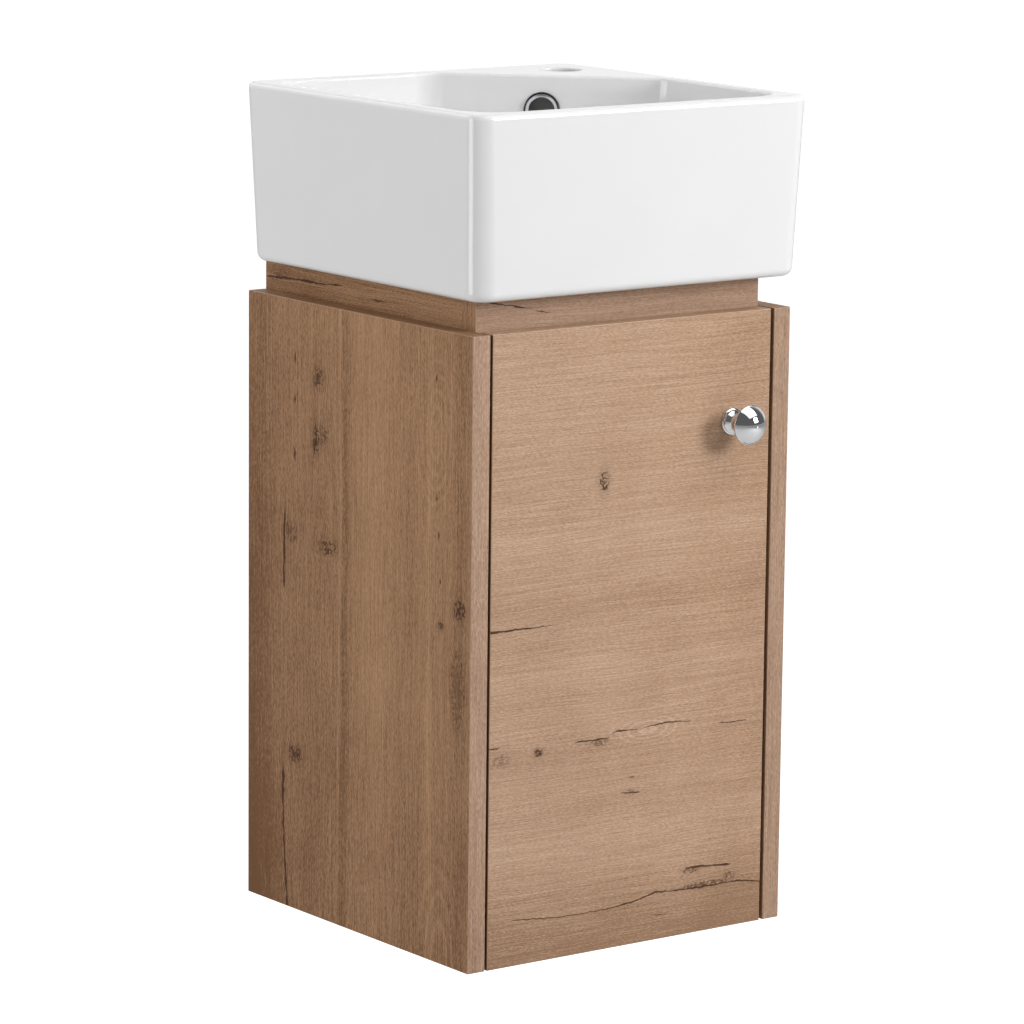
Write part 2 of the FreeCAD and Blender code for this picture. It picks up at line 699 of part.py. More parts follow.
# Every piece under its name: boards with their holes, single pieces, and groups of like fasteners
pieces = {name: cut_all(shape, drillings[name]) for name, shape in boards.items()}
pieces.update(hinge_pieces)
pieces["basin"] = basin
pieces["overflow_ring"] = overflow_ring
pieces["door_knob"] = knob
pieces["knob_screw"] = knob_screw
pieces["cam_bolts"] = Part.makeCompound(bolts)
pieces["cam_locks"] = Part.makeCompound(cams)
pieces["dowels"] = Part.makeCompound(dowels)
pieces["plinth_screws"] = Part.makeCompound(plinth_screws)
pieces["hinge_pins"] = Part.makeCompound(hinge_pins)
pieces["hinge_springs"] = Part.makeCompound(hinge_springs)
pieces["hinge_cup_screws"] = Part.makeCompound(cup_screws)
pieces["hinge_plate_screws"] = Part.makeCompound(plate_screws)
pieces["hinge_arm_screws"] = Part.makeCompound(arm_screws)
pieces["door_bumpers"] = Part.makeCompound(bumpers)
for name, shape in pieces.items():
    print(name, len(shape.Solids), "solids", round(shape.Volume / 1000, 2), "cm3", shape.isValid())
    shape.exportStep(os.path.join("parts", name + ".step"))
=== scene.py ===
import math

import bpy
from mathutils import Matrix, Vector

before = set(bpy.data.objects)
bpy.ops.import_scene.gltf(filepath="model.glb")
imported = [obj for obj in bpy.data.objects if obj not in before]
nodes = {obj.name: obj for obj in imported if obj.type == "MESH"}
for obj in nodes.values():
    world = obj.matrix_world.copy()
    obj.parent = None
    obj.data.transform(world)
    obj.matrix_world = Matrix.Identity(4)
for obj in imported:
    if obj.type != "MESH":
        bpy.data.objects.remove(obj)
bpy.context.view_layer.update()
bpy.ops.object.select_all(action="DESELECT")


# Side panels: 16 mm chipboard faced on both sides with an oak-look laminate, upright grain, and banded
# with the same oak on their edges. They carry everything else, and no fastener shows on their outer faces.

mm = 0.001
# A mark goes through its board, so its half depth in millimetres is more than any board's
any_depth = 1000.0
# Nearly all of a noise lies between these
noise_low, noise_high = 0.3, 0.7


def linear(code):
    """A hex colour as linear red, green, blue and alpha."""
    parts = [int(code[i:i + 2], 16) / 255 for i in (1, 3, 5)]
    return [c / 12.92 if c <= 0.04045 else ((c + 0.055) / 1.055) ** 2.4 for c in parts] + [1.0]


def add(tree, kind, inputs=None, **settings):
    """Adds one node with its settings, and links or sets its inputs by name or number."""
    node = tree.nodes.new(kind)
    for name, value in settings.items():
        setattr(node, name, value)
    for name, value in (inputs or {}).items():
        if isinstance(value, bpy.types.Node):
            value = value.outputs[0]
        if isinstance(value, bpy.types.NodeSocket):
            tree.links.new(value, node.inputs[name])
        else:
            node.inputs[name].default_value = value
    return node


def finish_named(name):
    """A new material with its node tree and its shader."""
    material = bpy.data.materials.new(name)
    material.use_nodes = True
    return material, material.node_tree, material.node_tree.nodes["Principled BSDF"]


def dress(material, *names):
    """Gives one material to CAD nodes."""
    for name in names:
        nodes[name].material_slots[0].material = material


def far_out(tree, way, half):
    """How far out in a spot a point lies, with 1 at the spot's edge. way leads there from the middle of the
    spot, and half is the spot's half length and half width."""
    share = add(tree, "ShaderNodeVectorMath", {0: way, 1: (*half, any_depth)}, operation="DIVIDE")
    return add(tree, "ShaderNodeVectorMath", {0: share}, operation="LENGTH").outputs["Value"]


def knot_mark(tree, spot, tear, curls, knot):
    """Darkness of a knot, which is a torn spot: broken curls of bark, a ragged core, and a smoky stain that
    fades out. Also gives the way that it pushes the grain aside, because the lines run round it."""
    along, across, half_length, half_width, strength = knot
    half = (half_length, half_width)
    push_reach, push_share = 3.2, 0.4
    core_edge, core_full = 0.6, 0.2
    curl_edge, curl_full = 1.25, 0.8
    stain_edge, stain_full, stain_share = 2.4, 0.2, 0.26
    way = add(tree, "ShaderNodeVectorMath", {0: spot, 1: (along, across, 0)}, operation="SUBTRACT")
    far = far_out(tree, way, half)
    near = add(tree, "ShaderNodeMapRange", {0: far, 1: push_reach, 2: 0.0}, interpolation_type="SMOOTHSTEP")
    push = add(tree, "ShaderNodeVectorMath", {0: way, 1: (0, -push_share, 0)}, operation="MULTIPLY")
    pushed = add(tree, "ShaderNodeVectorMath", {0: push, "Scale": near}, operation="SCALE")
    ragged = add(tree, "ShaderNodeVectorMath", {0: way, 1: tear}, operation="ADD")
    core = add(tree, "ShaderNodeMapRange", {0: far_out(tree, ragged, half), 1: core_edge, 2: core_full,
                                            4: strength})
    reach = add(tree, "ShaderNodeMapRange", {0: far, 1: curl_edge, 2: curl_full, 4: strength})
    curled = add(tree, "ShaderNodeMath", {0: curls, 1: reach}, operation="MULTIPLY")
    stain = add(tree, "ShaderNodeMapRange", {0: far, 1: stain_edge, 2: stain_full, 4: stain_share * strength},
                interpolation_type="SMOOTHSTEP")
    bark = add(tree, "ShaderNodeMath", {0: core, 1: curled}, operation="MAXIMUM")
    return add(tree, "ShaderNodeMath", {0: bark, 1: stain}, operation="MAXIMUM"), pushed


def split_line(tree, along, across, points):
    """Darkness of a drying split: points are (along, across, half width) in millimetres."""
    soft_edge = 0.3
    low, high = points[0][0], points[-1][0]
    base = min(p[1] for p in points)
    rise = max(max(p[1] for p in points) - base, 1.0)
    widest = max(p[2] for p in points)
    place = add(tree, "ShaderNodeMapRange", {0: along, 1: low, 2: high})
    curves = []
    for index, scale, start in ((1, rise, base), (2, widest, 0.0)):
        curve = add(tree, "ShaderNodeFloatCurve", {1: place})
        line = curve.mapping.curves[0]
        for spot in points[1:-1]:
            line.points.new((spot[0] - low) / (high - low), (spot[index] - start) / scale)
        line.points[0].location = (0.0, (points[0][index] - start) / scale)
        line.points[-1].location = (1.0, (points[-1][index] - start) / scale)
        for point in line.points:
            point.handle_type = "VECTOR"
        curve.mapping.update()
        curves.append(add(tree, "ShaderNodeMath", {0: curve, 1: scale, 2: start}, operation="MULTIPLY_ADD"))
    off = add(tree, "ShaderNodeMath", {0: across, 1: curves[0]}, operation="SUBTRACT")
    away = add(tree, "ShaderNodeMath", {0: off}, operation="ABSOLUTE")
    inside = add(tree, "ShaderNodeMath", {0: curves[1], 1: away}, operation="SUBTRACT")
    return add(tree, "ShaderNodeMath", {0: inside, 1: soft_edge}, operation="DIVIDE", use_clamp=True)


def pale_arcs(tree, flow, sway, bow):
    """Lift of the tone in a figured spot: thin pale arcs round its middle, bent by the sway of the grain."""
    along, across, half_length, half_width, strength = bow
    turns_out, swirl_by = 50.0, 34.0
    arc_edge = 0.1
    fade_from = 0.2
    way = add(tree, "ShaderNodeVectorMath", {0: flow, 1: (along, across, 0)}, operation="SUBTRACT")
    far = far_out(tree, way, (half_length, half_width))
    swirl = add(tree, "ShaderNodeMath", {0: sway, 1: swirl_by}, operation="MULTIPLY")
    turns = add(tree, "ShaderNodeMath", {0: far, 1: turns_out, 2: swirl}, operation="MULTIPLY_ADD")
    wave = add(tree, "ShaderNodeMath", {0: turns}, operation="SINE")
    arcs = add(tree, "ShaderNodeMapRange", {0: wave, 1: arc_edge, 2: 1.0})
    fade = add(tree, "ShaderNodeMapRange", {0: far, 1: fade_from, 2: 1.0, 3: strength, 4: 0.0},
               interpolation_type="SMOOTHSTEP")
    return add(tree, "ShaderNodeMath", {0: arcs, 1: fade}, operation="MULTIPLY")


def oak(name, grain, seed, face_tones, band_tones, knots=(), splits=(), figure=(), patches=(), edge_highlight_share=0.25,
        end_tones=None):
    """Oak-look laminate, printed and pressed: dull wood with fine fibres and a faint sheen. grain names the
    axes along, across and through the board, and the tones are pale, middle and deep. Knots, figured spots
    and soft patches are each (along, across, half length, half width, strength) in millimetres, and a patch
    with a strength below zero is darker. The ends of the board have tones of their own where these are
    given."""
    material, tree, shader = finish_named(name)
    place = add(tree, "ShaderNodeTexCoord")
    metres = add(tree, "ShaderNodeSeparateXYZ", {0: place.outputs["Object"]})
    upright = add(tree, "ShaderNodeVectorMath", {0: place.outputs["Normal"]}, operation="ABSOLUTE")
    facing = add(tree, "ShaderNodeSeparateXYZ", {0: upright})
    along, across, through = ("XYZ".index(axis) for axis in grain)
    square_on = 0.7
    is_end = add(tree, "ShaderNodeMath", {0: facing.outputs[along], 1: square_on}, operation="GREATER_THAN")
    is_band = add(tree, "ShaderNodeMath", {0: facing.outputs[across], 1: square_on}, operation="GREATER_THAN")
    face = add(tree, "ShaderNodeCombineXYZ", {0: metres.outputs[along], 1: metres.outputs[across],
                                              2: metres.outputs[through]})
    # The banding on the ends of the board has its grain along the edge
    end = add(tree, "ShaderNodeCombineXYZ", {0: metres.outputs[across], 1: metres.outputs[along],
                                             2: metres.outputs[through]})
    board = add(tree, "ShaderNodeMix", {0: is_end, 4: face, 5: end}, data_type="VECTOR")
    spot = add(tree, "ShaderNodeVectorMath", {0: board.outputs[1], "Scale": 1 / mm}, operation="SCALE")

    # One noise tears the edges of knots and splits, and its middle level draws the curls of bark
    curl_size, tear_by = (4.6, 4.2, 4.2), 4.5
    curl_edge, curl_full = 0.1, 0.04
    torn_at = add(tree, "ShaderNodeVectorMath", {0: spot, 1: curl_size}, operation="DIVIDE")
    torn = add(tree, "ShaderNodeTexNoise", {"Vector": torn_at, "Scale": 1.0, "Detail": 1.0})
    tear = add(tree, "ShaderNodeVectorMath", {0: torn.outputs["Color"], 1: (2 * tear_by, 2 * tear_by, 0),
                                              2: (-tear_by, -tear_by, 0)}, operation="MULTIPLY_ADD")
    off_curl = add(tree, "ShaderNodeMath", {0: torn, 1: 0.5}, operation="SUBTRACT")
    from_curl = add(tree, "ShaderNodeMath", {0: off_curl}, operation="ABSOLUTE")
    curls = add(tree, "ShaderNodeMapRange", {0: from_curl, 1: curl_edge, 2: curl_full})
    flow = spot
    marks = []
    for knot in knots:
        mark, pushed = knot_mark(tree, spot, tear, curls, knot)
        marks.append(mark)
        flow = add(tree, "ShaderNodeVectorMath", {0: flow, 1: pushed}, operation="ADD")
    split_tear = 0.2
    crooked = add(tree, "ShaderNodeVectorMath", {0: tear, 1: (split_tear, split_tear, 0), 2: spot},
                  operation="MULTIPLY_ADD")
    flat = add(tree, "ShaderNodeSeparateXYZ", {0: crooked})
    for points in splits:
        marks.append(split_line(tree, flat.outputs[0], flat.outputs[1], points))

    # The lines sway by a few millimetres over a hand's breadth
    sway_size, sway_by = (170.0, 50.0, 50.0), 3.0
    seeded = add(tree, "ShaderNodeVectorMath", {0: flow, 1: (seed * 613.0, seed * 271.0, seed * 89.0)},
                 operation="ADD")
    sway_at = add(tree, "ShaderNodeVectorMath", {0: seeded, 1: sway_size}, operation="DIVIDE")
    sway = add(tree, "ShaderNodeTexNoise", {"Vector": sway_at, "Scale": 1.0, "Detail": 1.5})
    shift = add(tree, "ShaderNodeMapRange", {0: sway, 1: 0.2, 2: 0.8, 3: -sway_by, 4: sway_by})
    sideways = add(tree, "ShaderNodeCombineXYZ", {1: shift})
    grain_at = add(tree, "ShaderNodeVectorMath", {0: seeded, 1: sideways}, operation="ADD")

    # Specks, short and long fibres, streaks, growth bands, and a soft fleck across the grain. Each has its
    # length and width in millimetres, its detail and its share of the tone. The last are short dark pores
    layer_turn = 0.6
    layers = []
    tone = 0.48
    for size, detail, share in (((3.2, 0.6, 0.6), 1.0, 0.75), ((14.0, 0.8, 0.8), 1.0, 0.25),
                                ((80.0, 1.0, 1.0), 2.0, 0.48), ((200.0, 2.8, 2.8), 2.0, 0.15),
                                ((430.0, 14.0, 14.0), 2.0, 0.12), ((42.0, 80.0, 80.0), 2.0, 0.12),
                                ((50.0, 0.75, 0.75), 1.0, 0.0)):
        scaled = add(tree, "ShaderNodeVectorMath", {0: grain_at, 1: size}, operation="DIVIDE")
        # Turned within its own stretched space, so that the noise shows no rows along or across the board
        turned = add(tree, "ShaderNodeVectorRotate", {"Vector": scaled, "Angle": layer_turn},
                     rotation_type="Z_AXIS")
        layer = add(tree, "ShaderNodeTexNoise", {"Vector": turned, "Scale": 1.0, "Detail": detail})
        layers.append(layer)
        if share:
            level = add(tree, "ShaderNodeMath", {0: layer, 1: 0.5}, operation="SUBTRACT")
            tone = add(tree, "ShaderNodeMath", {0: level, 1: share, 2: tone}, operation="MULTIPLY_ADD")
    fibres, pores = layers[2], layers[-1]
    wavy = add(tree, "ShaderNodeVectorMath", {0: spot, 1: sideways}, operation="ADD")
    for *middle, half_length, half_width, strength in patches:
        way = add(tree, "ShaderNodeVectorMath", {0: wavy, 1: (*middle, 0)}, operation="SUBTRACT")
        far = far_out(tree, way, (half_length, half_width))
        lifted = add(tree, "ShaderNodeMapRange", {0: far, 1: 1.0, 2: 0.0, 4: strength},
                     interpolation_type="SMOOTHSTEP")
        tone = add(tree, "ShaderNodeMath", {0: tone, 1: lifted}, operation="ADD")
    for bow in figure:
        tone = add(tree, "ShaderNodeMath", {0: tone, 1: pale_arcs(tree, flow, sway, bow)}, operation="ADD")

    # The tone picks a colour from deep to pale, and the pores go deep
    deep_at, middle_at, pale_at = 0.2, 0.5, 0.78
    pore_edge, pore_full, pore_share = 0.44, 0.3, 0.3
    pored = add(tree, "ShaderNodeMapRange", {0: pores, 1: pore_edge, 2: pore_full, 4: pore_share})
    coats = []
    for pale, middle, deep in [face_tones, band_tones] + ([end_tones] if end_tones else []):
        colour = add(tree, "ShaderNodeValToRGB", {0: tone})
        stops = colour.color_ramp.elements
        stops[0].position, stops[1].position = deep_at, pale_at
        stops[0].color, stops[1].color = linear(deep), linear(pale)
        stops.new(middle_at).color = linear(middle)
        coats.append(add(tree, "ShaderNodeMix", {0: pored, 6: colour, 7: linear(deep)}, data_type="RGBA"))
    coated = coats[0]
    for sort, coat in zip((is_band, is_end), coats[1:]):
        coated = add(tree, "ShaderNodeMix", {0: sort, 6: coated.outputs[2], 7: coat.outputs[2]},
                     data_type="RGBA")
    # The rounded edge of the banding is painted a little paler: a painted highlight along the arris
    flat_on, round_on = 0.99, 0.9
    widest = add(tree, "ShaderNodeMath", {0: facing.outputs[0], 1: facing.outputs[1]}, operation="MAXIMUM")
    widest = add(tree, "ShaderNodeMath", {0: widest, 1: facing.outputs[2]}, operation="MAXIMUM")
    edge_highlight = add(tree, "ShaderNodeMapRange", {0: widest, 1: flat_on, 2: round_on, 4: edge_highlight_share})
    final = add(tree, "ShaderNodeMix", {0: edge_highlight, 6: coated.outputs[2], 7: linear(band_tones[0])},
                data_type="RGBA")
    mark_colour, mark_cover = linear("#3e2009"), 0.92
    pore_relief, mark_relief = -0.8, -1.2
    relief = add(tree, "ShaderNodeMath", {0: pored, 1: pore_relief, 2: fibres}, operation="MULTIPLY_ADD")
    for mark in marks:
        shown = add(tree, "ShaderNodeMath", {0: mark, 1: mark_cover}, operation="MULTIPLY")
        final = add(tree, "ShaderNodeMix", {0: shown, 6: final.outputs[2], 7: mark_colour}, data_type="RGBA")
        relief = add(tree, "ShaderNodeMath", {0: mark, 1: mark_relief, 2: relief}, operation="MULTIPLY_ADD")
    tree.links.new(final.outputs[2], shader.inputs["Base Color"])

    # The laminate is pressed with shallow pores, so it is dull, and a little duller along them
    dull, duller = 0.48, 0.6
    sheen = add(tree, "ShaderNodeMapRange", {0: fibres, 1: noise_low, 2: noise_high, 3: duller, 4: dull})
    tree.links.new(sheen.outputs[0], shader.inputs["Roughness"])
    bump = add(tree, "ShaderNodeBump", {"Strength": 0.3, "Distance": 0.2 * mm, "Height": relief})
    tree.links.new(bump.outputs[0], shader.inputs["Normal"])
    shader.inputs["Specular IOR Level"].default_value = 0.2
    return material


side_knots = [(425.5, -97, 8, 8, 0.85), (376, -94, 12, 4.5, 0.9), (382, -103, 8, 8, 0.65),
              (300, -60, 8, 10, 0.7), (295, -111.5, 6, 12, 0.9), (124.5, -66.5, 7, 10, 0.95),
              (275.5, -284, 8, 8, 1.0), (260, -260, 3, 4, 0.9), (215, -282, 34, 10, 0.55)]
side_splits = [[(354, -65.4, 0), (362, -65.2, 1.5), (369, -65.6, 0)],
               [(401, -65.0, 0), (405, -65.3, 1.4), (410, -65.1, 0)],
               [(430, -65.0, 0), (437, -65.2, 1.4), (443, -64.9, 0)],
               [(359, -91, 0), (368, -92, 0.9), (378, -94.5, 1.1), (388, -93.5, 0.6), (396, -94, 0)],
               [(253, -50.5, 0), (259, -50.8, 1.6), (272, -50.4, 1.1), (285, -51.2, 1.7), (298, -50.8, 1.2),
                (308, -51.6, 1.5), (323, -51.8, 0)],
               [(-5, -56.5, 1.1), (3, -55.9, 1.7), (10, -55.6, 0.9), (18, -54.2, 1.6), (24, -54.4, 1.0),
                (33, -53.0, 1.7), (41, -52.6, 0.9), (52, -51.2, 1.6), (58, -51.5, 0.8), (66, -50.4, 1.5),
                (76, -50.6, 1.0), (86, -49.6, 1.5), (93, -50.2, 2.4), (97, -49.6, 1.2), (104, -50.6, 2.6),
                (110, -50.0, 0.8), (118, -50, 0)],
               [(352, -254.1, 0), (355, -254.2, 1.0), (359, -254, 0)],
               [(320, -257.2, 0), (327, -257, 1.0), (332, -256.8, 0)],
               [(440, -253, 0), (446, -252.8, 1.1), (450, -252.9, 0)],
               [(290, -259, 0), (293, -259, 1.0), (296, -259, 0)]]
side_figure = [(-10, -258, 170, 52, 0.12), (405, -252, 95, 44, 0.11), (30, -130, 90, 34, 0.08)]
# Painted shade: the first patch darkens the back edge and the one low down darkens the bottom. The patches
# along the whole length are streaks in the tone.
side_streaks_and_painted_shade = [(60, 0, 900, 75, -0.27), (240, -133, 2000, 8, -0.12), (240, -126, 2000, 3, 0.1),
                (240, -170, 2000, 45, 0.09), (240, -246, 2000, 6, 0.1), (240, -285, 2000, 14, -0.08),
                (0, -150, 220, 600, -0.13), (240, -85, 330, 60, -0.09), (190, -145, 270, 45, -0.06)]
side_tones = ("#bb946f", "#a27c5c", "#704c2e")
strip_tones = ("#ccaf99", "#b4937b", "#8f705b")
side_oak = oak("oak laminate, upright", "ZYX", 1, side_tones, strip_tones, side_knots, side_splits,
               side_figure, side_streaks_and_painted_shade)
dress(side_oak, "side_panel_left")

far_knots = [(338, -176, 8, 8, 0.85), (322, -184, 10, 4, 0.6), (148, -86, 7, 9, 0.8), (86, -232, 5, 10, 0.7)]
far_splits = [[(88, -207, 0), (120, -206.2, 1.0), (168, -205.4, 0.7), (214, -206.6, 1.1), (246, -206, 0)],
              [(398, -84, 0), (408, -84.3, 0.8), (418, -84, 0)]]
far_patches = [(240, -30, 2000, 60, -0.1), (240, -118, 2000, 9, -0.1), (240, -160, 2000, 30, 0.07),
               (240, -246, 2000, 12, -0.1)]
far_tones = ("#c5a892", "#ad8d75", "#886b58")
far_oak = oak("oak laminate, upright, second sheet", "ZYX", 5, side_tones, far_tones, far_knots, far_splits,
              (), far_patches)
dress(far_oak, "side_panel_right")


# Bottom panel and back rails: the same board with the grain from side to side. They tie the side panels
# together, and the hanging rail takes the wall screws.

inner_tones = ("#c09e82", "#b08b70", "#8b6953")
inner_oak = oak("oak laminate, level", "XZY", 3, inner_tones, inner_tones)
floor_oak = oak("oak laminate, bottom", "XYZ", 4, inner_tones, inner_tones)
dress(inner_oak, "lower_back_rail", "hanging_rail")
dress(floor_oak, "bottom_panel")


# Plinth rails: three banded boards that stand up between the side panels and carry the basin. Their grain
# is level, and the ends of the front rail are banded.

front_rail_splits = [[(-125, 503, 0), (-118, 502, 0.7), (-108, 500, 0.5), (-101, 498.8, 0.6), (-92, 497, 0.8),
                      (-87, 496.2, 0.3), (-80, 494, 0.2), (-73, 492.2, 0.6), (-58, 491, 0)]]
# Painted light and painted shadow: the rail is lighter low down and darker at its top, where the basin above
# shades it.
front_rail_painted_light_and_shadow = [(0, 485, 2000, 12, 0.06), (0, 507, 2000, 10, -0.17)]
rail_tones = ("#c9ab93", "#b6967e", "#90725c")
front_rail_oak = oak("oak laminate, plinth front", "XZY", 6, rail_tones, rail_tones, (), front_rail_splits,
                     (), front_rail_painted_light_and_shadow, end_tones=side_tones)
dress(front_rail_oak, "plinth_front_rail")

left_rail_knots = [(-22, 496, 8, 4, 0.4)]
left_rail_splits = [[(-170, 490.6, 0), (-152, 490.2, 0.8), (-141, 490.4, 0), (-108, 496.8, 0),
                     (-97, 495.8, 0.9), (-88, 495, 0.4), (-75, 494.1, 0.8), (-60, 494.2, 1.3),
                     (-41, 494, 0.7), (-20, 492.8, 1.2), (-4, 492.2, 0.8), (0, 492, 0)]]
# Painted shade: the rail is darker towards its back end.
left_rail_painted_shade = [(0, 494, 260, 400, -0.12)]
left_rail_oak = oak("oak laminate, plinth side", "YZX", 7, side_tones, side_tones, left_rail_knots,
                    left_rail_splits, (), left_rail_painted_shade)
dress(left_rail_oak, "plinth_left_rail")
right_rail_oak = oak("oak laminate, plinth far side", "YZX", 8, side_tones, side_tones)
dress(right_rail_oak, "plinth_right_rail")


# Joint fittings: steel bolts with die-cast cams, beech dowels and countersunk screws. They are let into
# the boards, and only the cams' slotted faces show, inside the cabinet and underneath.

def plated(name, code, roughness, grit):
    """Plated or cast metal: a soft gleam, broken by tumbling marks of the given size in millimetres."""
    material, tree, shader = finish_named(name)
    uneven = 0.2
    place = add(tree, "ShaderNodeTexCoord")
    marks = add(tree, "ShaderNodeTexNoise", {"Vector": place.outputs["Object"], "Scale": 1 / (grit * mm),
                                             "Detail": 3.0})
    shine = add(tree, "ShaderNodeMapRange", {0: marks, 1: noise_low, 2: noise_high,
                                             3: (1 - uneven) * roughness, 4: (1 + uneven) * roughness})
    tree.links.new(shine.outputs[0], shader.inputs["Roughness"])
    bump = add(tree, "ShaderNodeBump", {"Strength": 0.1, "Distance": 0.05 * mm, "Height": marks})
    tree.links.new(bump.outputs[0], shader.inputs["Normal"])
    shader.inputs["Base Color"].default_value = linear(code)
    shader.inputs["Metallic"].default_value = 1.0
    return material


def mottled(name, codes, size, roughness):
    """A plain stuff whose colour wanders between two near shades, over a size in millimetres."""
    material, tree, shader = finish_named(name)
    place = add(tree, "ShaderNodeTexCoord")
    cloud = add(tree, "ShaderNodeTexNoise", {"Vector": place.outputs["Object"], "Scale": 1 / (size * mm)})
    shade = add(tree, "ShaderNodeMix", {0: cloud, 6: linear(codes[0]), 7: linear(codes[1])},
                data_type="RGBA")
    tree.links.new(shade.outputs[2], shader.inputs["Base Color"])
    shader.inputs["Roughness"].default_value = roughness
    return material


nickel = plated("nickel-plated steel, rolled", "#c3c2bf", 0.24, 1.4)
dress(nickel, "cam_bolts", "plinth_screws")
# Cast zinc is greyer than nickel, and its skin is dull
dress(plated("zinc alloy, die cast", "#a9a9a8", 0.42, 0.8), "cam_locks")
# Bare beech is a dry, pale wood with short flecks
dress(mottled("beech, turned and fluted", ("#c79a6d", "#dab88c"), 1.1, 0.7), "dowels")


# Hinges: pressed steel cups in the door, bent arms and cast plates on the left side panel, all nickel
# plated. A hardened pin and a leaf spring sit in each cup.

for level_name in ("lower", "upper"):
    dress(nickel, "hinge_cup_" + level_name, "hinge_arm_" + level_name, "hinge_plate_" + level_name)
dress(nickel, "hinge_cup_screws", "hinge_arm_screws", "hinge_plate_screws")
# Hardened steel is left blue-grey
dress(plated("spring steel, hardened", "#8f9194", 0.2, 0.9), "hinge_pins", "hinge_springs")


# Door: one banded board with level grain, hung between the side panels and flush with them. Its upright
# ends lie in the gaps, and their banding is painted darker, a painted shade for the dark gaps.

door_knots = [(-27.5, 363, 5, 8, 1.0), (-121, 161, 8, 5, 0.4), (-86, 162, 4, 3.5, 0.95),
              (-29, 163, 9, 3, 0.6), (2, 120, 6, 2.5, 0.5), (75, 37, 24, 3, 0.7), (100, 41, 6, 3, 0.7),
              (62, 50, 8, 2.5, 0.7)]
door_splits = [[(-132, 259, 1.1), (-120, 258.8, 0.9), (-95, 258.3, 0.7), (-80, 258.4, 0.4), (-60, 258.3, 0)],
               [(-131, 170, 0.7), (-125, 170.4, 0.6), (-119, 170.8, 0), (-55, 165.8, 0), (-47, 165.7, 0.8),
                (-36, 165.2, 0.6), (-30, 165.2, 0.9), (-20, 165, 0.4), (-17, 168.6, 0.2), (-11, 169.3, 0.9),
                (10, 168.2, 0.3), (22, 169.6, 0.5), (37, 170.3, 0.7), (58, 168.4, 0.4), (62, 168, 0),
                (84, 163.4, 0), (90, 163.2, 0.6), (113, 162.3, 0.5), (116, 162, 0)],
               [(-10, 120.9, 0), (-3, 120.4, 0.6), (9, 119.1, 0.8), (12, 118.8, 0)],
               [(-2, 131.9, 0), (3, 131.7, 0.7), (7, 131.4, 0)],
               [(50, 45, 0), (54.3, 46.6, 0.6), (57, 52.4, 0.5), (66, 52.5, 1.1), (80, 51, 0.7),
                (97.7, 49.9, 1.0), (103, 49.6, 0)],
               [(-113, 36, 0), (-105, 35.4, 0.6), (-64, 31.8, 0.5), (-40, 31.2, 0.4), (-16, 31.7, 0.5),
                (3, 33, 0.8), (13, 34.5, 0.6), (27, 37.9, 0.9), (40, 36.5, 0.5), (71, 35.4, 0.8),
                (95, 35.5, 0.5), (111, 35.2, 0.8), (122, 33, 0.7), (131, 31.4, 0.5)],
               [(20, 21, 0), (30, 19.4, 0.5), (46, 18.4, 0)]]
door_figure = [(20, 167, 58, 20, 0.19)]
# Painted shade and painted light: the patch at the bottom darkens it, the two at the right darken that side,
# and the one at the top lightens it. The other patches along the whole width are streaks in the tone.
door_streaks_and_painted_light = [(0, 0, 2000, 85, -0.28), (0, 90, 2000, 22, 0.06), (0, 160, 2000, 14, -0.05),
                (0, 222, 2000, 24, 0.05), (0, 270, 2000, 14, -0.07), (0, 322, 2000, 20, 0.06),
                (0, 440, 2000, 70, 0.03), (135, 240, 110, 800, -0.09), (40, 225, 70, 40, -0.05),
                (135, 450, 90, 90, -0.04)]
door_tones = ("#d2b59c", "#bc9a7f", "#937156")
# Painted shade: darker tones for the door's upright ends, which stand for the shade in the gaps
door_end_shade_tones = ("#7d5d43", "#6b4d36", "#533a28")
# 0.4 is the door's share of painted highlight on its rounded edges
door_oak = oak("oak laminate, door", "XZY", 2, door_tones, door_tones, door_knots, door_splits, door_figure,
               door_streaks_and_painted_light, 0.4, door_end_shade_tones)
dress(door_oak, "door")


# Knob: turned brass, polished and chromed, held by a screw from behind. The soft pads behind the free
# edge of the door are clear rubber.

# Chromium is a clear, cool mirror, and the polishing wheel leaves it barely uneven
chrome_code = "#e3e4e6"
polish_size = 2.5
chrome, chrome_tree, chrome_shader = finish_named("chromium on polished brass")
chrome_place = add(chrome_tree, "ShaderNodeTexCoord")
polish = add(chrome_tree, "ShaderNodeTexNoise", {"Vector": chrome_place.outputs["Object"],
                                                 "Scale": 1 / (polish_size * mm)})
chrome_shine = add(chrome_tree, "ShaderNodeMapRange", {0: polish, 1: noise_low, 2: noise_high, 3: 0.035,
                                                       4: 0.06})
chrome_tree.links.new(chrome_shine.outputs[0], chrome_shader.inputs["Roughness"])
chrome_shader.inputs["Base Color"].default_value = linear(chrome_code)
chrome_shader.inputs["Metallic"].default_value = 1.0
dress(chrome, "door_knob")
dress(nickel, "knob_screw")
# Moulded rubber looks milky, with a soft shine
dress(mottled("clear rubber, moulded", ("#d9d8d2", "#e8e7e2"), 1.4, 0.35), "door_bumpers")


# Basin: slip-cast vitreous china with a clear white glaze, glued to the plinth's top edge. The overflow
# ring is chromed and pushed into its hole in the slanting wall.

# Glazed china is a deep, even white under a hard shine
cloud_size, ripple_size = 60.0, 35.0
china, china_tree, china_shader = finish_named("vitreous china, glazed")
china_place = add(china_tree, "ShaderNodeTexCoord")
cloud = add(china_tree, "ShaderNodeTexNoise", {"Vector": china_place.outputs["Object"],
                                               "Scale": 1 / (cloud_size * mm), "Detail": 2.0})
china_colour = add(china_tree, "ShaderNodeMix", {0: cloud, 6: linear("#ebebeb"), 7: linear("#efefef")},
                   data_type="RGBA")
